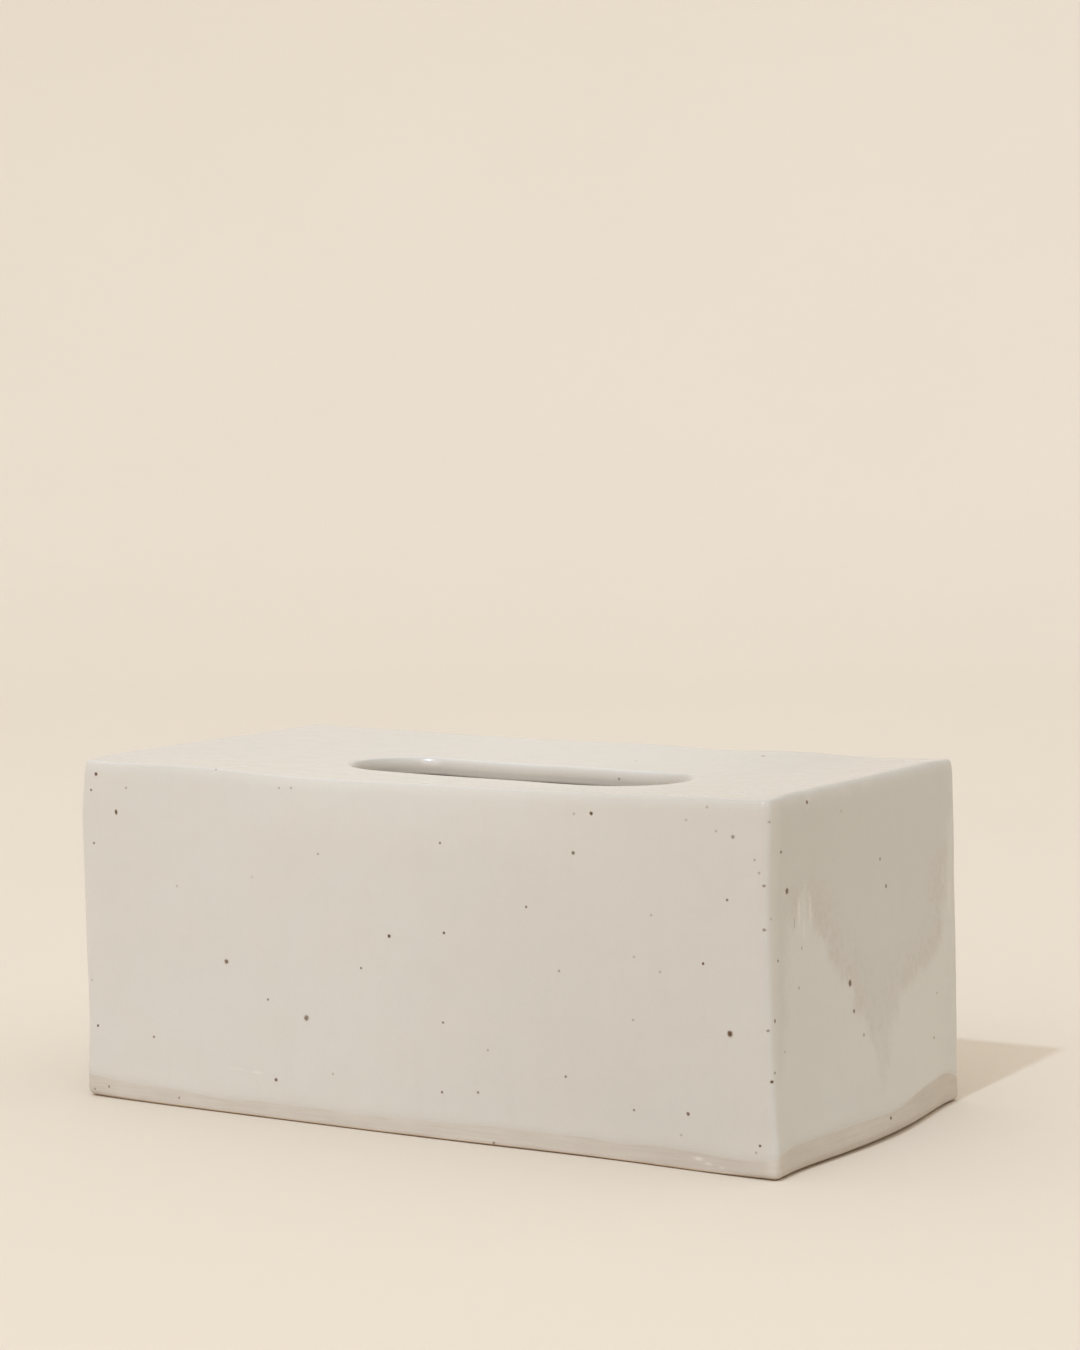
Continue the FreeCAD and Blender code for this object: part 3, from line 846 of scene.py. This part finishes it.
def glaze_material():
    t = Tree("speckled_satin_glaze")
    p = t.coords()
    line_mm = t.attr("line_mm")
    thin_mm = t.attr("thin_mm")
    base = t.add("ShaderNodeRGB")
    base.outputs[0].default_value = col(*GLAZE_TONE)
    colour = base.outputs[0]
    # slow drift of tone from uneven dipping and firing, then painted light and shade
    big = t.noise(p, 15.0, 3.0, 0.55)
    colour = tint(t, t.remap(big, 0.30, 0.70), colour, 0.982, 0.984, 0.984)
    # painted shade, darker towards the right
    colour = tint(t, t.attr("painted_falloff_shade"), colour, 0.925, 0.918, 0.908)
    # painted light: a cooler tone on the right end, standing in for cool fill light there
    colour = tint(t, t.attr("end"), colour, 0.964, 0.996, 1.017)
    # painted warm light on the slot's edge and walls
    colour = tint(t, t.attr("cut"), colour, 1.065, 1.000, 0.930)
    hue = t.noise(t.vec("ADD", p, (3.1, 1.7, 0.4)), 40.0, 3.0, 0.6)
    colour = tint(t, t.remap(hue, 0.38, 0.66), colour, 1.004, 0.996, 0.994)
    # faint clouding, and the trails of runs down the walls
    mid = t.noise(p, 170.0, 3.0, 0.6)
    colour = tint(t, t.remap(mid, 0.35, 0.75), colour, 0.988, 0.987, 0.985)
    trail = t.noise(t.vec("MULTIPLY", p, (1.0, 1.0, 0.06)), 260.0, 3.0, 0.6)
    colour = tint(t, t.math("MULTIPLY", t.remap(trail, 0.45, 0.75), 0.7), colour, 0.990, 0.988, 0.986)
    grain = t.noise(p, 1500.0, 2.0, 0.6)
    colour = tint(t, t.remap(grain, 0.4, 0.75), colour, 0.982, 0.980, 0.977)
    sep = t.add("ShaderNodeSeparateXYZ")
    t.put(sep.inputs[0], p)
    height, depth = sep.outputs["Z"], sep.outputs["Y"]
    # painted light: the upper walls and the top made lighter, most in the middle of the length, the right end left out
    upper = t.math("MULTIPLY", t.remap(height, 0.086, 0.107), t.math("SUBTRACT", 1.0, t.attr("end")))
    upper = t.math("MULTIPLY", upper, t.remap(t.math("ABSOLUTE", sep.outputs["X"]), 0.030, 0.085, 1.0, 0.1))
    colour = tint(t, upper, colour, 1.044, 1.048, 1.058)
    # painted shade, the top darker towards the right
    colour = tint(t, t.attr("lid"), colour, 0.952, 0.956, 0.955)
    # darker on the rounding of the top edge
    colour = tint(t, t.attr("brow"), colour, 0.945, 0.938, 0.928)
    # the part of one end that took less glaze, with a brushy edge
    brush = t.noise(t.vec("MULTIPLY", p, (1.0, 1.0, 0.7)), 150.0, 5.0, 0.68)
    sweep = t.math("MINIMUM", t.remap(depth, -0.064, -0.050, 3.0, 17.0), t.remap(depth, -0.012, 0.022, 17.0, 9.0))
    broken = t.math("ADD", thin_mm, t.math("MULTIPLY", t.math("SUBTRACT", brush, 0.5), sweep))
    fade = t.remap(height, 0.014, 0.052, 0.40, 1.0)
    inside = t.math("MULTIPLY", t.remap(broken, -3.0, 4.5), fade)
    colour = tint(t, inside, colour, 0.916, 0.912, 0.908)
    rim = t.math("MULTIPLY", t.remap(broken, -2.5, 2.0), t.remap(broken, 5.0, 21.0, 1.0, 0.0))
    rim = t.math("MULTIPLY", t.math("MULTIPLY", rim, fade), t.remap(height, 0.076, 0.092, 1.0, 0.0))
    rim = t.math("MULTIPLY", rim, t.remap(depth, -0.057, -0.049, 0.2, 1.0))
    strokes = t.noise(t.vec("MULTIPLY", p, (1.0, 1.0, 0.8)), 430.0, 5.0, 0.72)
    colour = tint(t, t.math("MULTIPLY", rim, t.remap(brush, 0.36, 0.60)), colour, 0.990, 0.950, 0.936)
    colour = tint(t, t.math("MULTIPLY", rim, t.remap(strokes, 0.46, 0.62)), colour, 0.950, 0.930, 0.918)
    # a little more glaze just above its lower edge, and a thin last strip
    run = t.noise(t.vec("MULTIPLY", p, (1.0, 1.0, 0.12)), 120.0, 2.0, 0.5)
    reach = t.math("MULTIPLY_ADD", run, 10.0, 4.0)
    pooled = t.math("MULTIPLY", t.remap(line_mm, 1.2, 3.0), t.math("SUBTRACT", 1.0, t.remap(line_mm, 4.0, reach)))
    colour = tint(t, t.math("MULTIPLY", pooled, 0.6), colour, 1.022, 1.020, 1.018)
    worn = t.noise(t.vec("MULTIPLY", p, (1.0, 1.0, 2.0)), 330.0, 3.0, 0.6)
    cover = t.remap(t.math("ADD", line_mm, t.math("MULTIPLY_ADD", worn, 0.7, -0.35)), -0.4, 1.8)
    colour = t.mix(t.math("MULTIPLY", t.math("SUBTRACT", 1.0, cover), 0.85), colour, clay_with_painted_light(t, p, col(*CLAY_TONE)))
    colour = with_marks(t, p, colour)
    bsdf = t.add("ShaderNodeBsdfPrincipled")
    t.put(bsdf.inputs["Base Color"], colour)
    rough = t.math("ADD", t.remap(mid, 0.2, 0.8, 0.19, 0.25), t.math("MULTIPLY", t.math("SUBTRACT", 1.0, cover), 0.3))
    t.put(bsdf.inputs["Roughness"], rough)
    bsdf.inputs["IOR"].default_value = 1.5
    bsdf.inputs["Coat Weight"].default_value = 0.3
    bsdf.inputs["Coat Roughness"].default_value = 0.12
    bump = t.add("ShaderNodeBump")
    bump.inputs["Strength"].default_value = 0.12
    bump.inputs["Distance"].default_value = 0.00005
    orange = t.math("ADD", t.math("MULTIPLY", t.noise(p, 170.0, 2.0, 0.5), 1.0), t.math("MULTIPLY", grain, 0.05))
    t.put(bump.inputs["Height"], t.math("MULTIPLY", orange, t.remap(height, 0.098, 0.106, 1.0, 0.3)))
    t.put(bsdf.inputs["Normal"], bump.outputs[0])
    o = t.add("ShaderNodeOutputMaterial")
    t.nt.links.new(bsdf.outputs[0], o.inputs[0])
    return t.mat


# ------------------------------------------------------------------ clay materials
def clay_material(name, base, streak):
    t = Tree(name)
    p = t.coords()
    flat = t.vec("MULTIPLY", p, (0.045, 0.045, 1.0))
    lines = t.noise(flat, 1500.0, 4.0, 0.65)
    lines2 = t.noise(flat, 420.0, 2.0, 0.5)
    grit = t.noise(p, 2200.0, 2.0, 0.7)
    colour = clay_with_painted_light(t, p, base)
    colour = tint(t, t.math("MULTIPLY", t.remap(lines, 0.42, 0.66), streak * 0.8), colour, 0.93, 0.92, 0.905)
    colour = tint(t, t.math("MULTIPLY", t.remap(lines2, 0.5, 0.72), streak * 0.8), colour, 1.05, 1.05, 1.05)
    colour = tint(t, t.math("MULTIPLY", t.remap(grit, 0.56, 0.74), 0.6), colour, 0.92, 0.905, 0.89)
    colour = with_marks(t, p, colour)
    bsdf = t.add("ShaderNodeBsdfPrincipled")
    t.put(bsdf.inputs["Base Color"], colour)
    t.put(bsdf.inputs["Roughness"], t.remap(grit, 0.2, 0.8, 0.62, 0.82))
    bsdf.inputs["IOR"].default_value = 1.45
    bump = t.add("ShaderNodeBump")
    bump.inputs["Strength"].default_value = 0.4
    bump.inputs["Distance"].default_value = 0.00008
    height = t.math("ADD", t.math("MULTIPLY", lines, 0.6 * streak), t.math("MULTIPLY", grit, 0.35))
    t.put(bump.inputs["Height"], height)
    t.put(bsdf.inputs["Normal"], bump.outputs[0])
    o = t.add("ShaderNodeOutputMaterial")
    t.nt.links.new(bsdf.outputs[0], o.inputs[0])
    return t.mat


glaze_mat = glaze_material()
slab_mat = clay_material("bare_stoneware_slab", col(*CLAY_TONE), 1.0)
coil_mat = clay_material("bare_stoneware_coil", col(0.545, 0.495, 0.425), 0.35)

glaze.data.materials.append(glaze_mat)
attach(glaze, "root")
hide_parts("glaze_coat")
for node, obj in slabs.items():
    obj.data.materials.append(slab_mat)
    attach(obj, "root")
    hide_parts(node)
for node, obj in coils.items():
    obj.data.materials.append(coil_mat)
    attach(obj, "root")
    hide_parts(node)

# ------------------------------------------------------------------ stage
FLOOR_FLAT, FLOOR_CURVE, FLOOR_WALL = 1.5, 1.6, 0.25
profile = [(r, 0.0) for r in np.concatenate([[0.02], np.linspace(0.1, FLOOR_FLAT, 16)])]
for a in np.radians(np.linspace(0, 90, 40)[1:]):
    profile.append((FLOOR_FLAT + FLOOR_CURVE * math.sin(a), FLOOR_CURVE * (1 - math.cos(a))))
profile.append((FLOOR_FLAT + FLOOR_CURVE, FLOOR_CURVE + FLOOR_WALL))
seg = 160
verts = []
for r, z in profile:
    for k in range(seg):
        g = 2 * math.pi * k / seg
        verts.append((r * math.cos(g), r * math.sin(g), z))
faces = ring_faces(len(profile), seg, False) + [list(range(seg))]
floor_mesh = bpy.data.meshes.new("studio_floor")
floor_mesh.from_pydata(verts, [], faces)
bm = bmesh.new()
bm.from_mesh(floor_mesh)
bmesh.ops.recalc_face_normals(bm, faces=bm.faces)
if sum(f.normal.z for f in bm.faces if f.calc_center_median().z < 0.01) < 0:
    bmesh.ops.reverse_faces(bm, faces=bm.faces)
bm.to_mesh(floor_mesh)
bm.free()
floor_mesh.polygons.foreach_set("use_smooth", np.ones(len(floor_mesh.polygons), bool))
floor = bpy.data.objects.new("studio_floor", floor_mesh)
bpy.context.scene.collection.objects.link(floor)

ft = Tree("pale_studio_floor")
paper = ft.noise(ft.coords(), 3.0, 2.0, 0.5)
floor_colour = ft.mix(ft.remap(paper, 0.3, 0.7), col(0.699, 0.619, 0.520), col(0.706, 0.626, 0.526))
fb = ft.add("ShaderNodeBsdfPrincipled")
ft.put(fb.inputs["Base Color"], floor_colour)
fb.inputs["Roughness"].default_value = 0.95
fb.inputs["Specular IOR Level"].default_value = 0.1
clear = ft.add("ShaderNodeBsdfTransparent")
pick = ft.add("ShaderNodeMixShader")
ft.put(pick.inputs[0], ft.add("ShaderNodeNewGeometry").outputs["Backfacing"])
ft.nt.links.new(fb.outputs[0], pick.inputs[1])
ft.nt.links.new(clear.outputs[0], pick.inputs[2])
fo = ft.add("ShaderNodeOutputMaterial")
ft.nt.links.new(pick.outputs[0], fo.inputs[0])
floor.data.materials.append(ft.mat)

# ------------------------------------------------------------------ light
scene = bpy.context.scene
world = bpy.data.worlds.new("soft_room")
world.use_nodes = True
back = world.node_tree.nodes.get("Background")
back.inputs[0].default_value = (1.035, 1.013, 0.978, 1.0)
back.inputs[1].default_value = 1.0
scene.world = world


def sun(name, toward, strength, colour, degrees):
    data = bpy.data.lights.new(name, "SUN")
    data.energy = strength
    data.color = colour
    data.angle = math.radians(degrees)
    obj = bpy.data.objects.new(name, data)
    obj.rotation_mode = "QUATERNION"
    obj.rotation_quaternion = Vector(toward).to_track_quat("Z", "Y")
    scene.collection.objects.link(obj)
    return obj


def softbox(name, at, size, watts, colour):
    data = bpy.data.lights.new(name, "AREA")
    data.shape = "SQUARE"
    data.size = size
    data.energy = watts
    data.color = colour
    obj = bpy.data.objects.new(name, data)
    obj.location = at
    obj.rotation_mode = "QUATERNION"
    obj.rotation_quaternion = Vector(at).to_track_quat("Z", "Y")
    scene.collection.objects.link(obj)
    return obj


key = sun("key_light", (0.0, -0.66, 0.75), 1.12, (0.625, 0.786, 1.0), 2.5)
soft_box = softbox("soft_box", (-0.12, -2.45, 1.55), 1.7, 13.6, (1.0, 1.0, 1.0))

# ------------------------------------------------------------------ camera
AZ, EL, ROLL = math.radians(30.5113520), math.radians(4.84438113), math.radians(-0.250068827)
FOCUS = 3412.42690     # focal length in pixels of a 1350-pixel-high picture
eye = Vector((574.388878, -960.693555, 235.746960)) * UNIT
backward = Vector((math.sin(AZ) * math.cos(EL), -math.cos(AZ) * math.cos(EL), math.sin(EL)))
right = (-backward).cross(Vector((0, 0, 1))).normalized()
up = right.cross(-backward)
right, up = right * math.cos(ROLL) + up * math.sin(ROLL), up * math.cos(ROLL) - right * math.sin(ROLL)
cam_data = bpy.data.cameras.new("camera")
cam_data.sensor_width = 36.0
cam_data.lens = FOCUS / 1350.0 * 36.0
cam_data.clip_start, cam_data.clip_end = 0.05, 60.0
camera = bpy.data.objects.new("camera", cam_data)
camera.matrix_world = Matrix((
    (right.x, up.x, backward.x, eye.x),
    (right.y, up.y, backward.y, eye.y),
    (right.z, up.z, backward.z, eye.z),
    (0, 0, 0, 1)))
scene.collection.objects.link(camera)
scene.camera = camera
scene.view_settings.view_transform = "Standard"
scene.view_settings.look = "None"
scene.view_settings.exposure = 0.0
scene.view_settings.gamma = 1.0
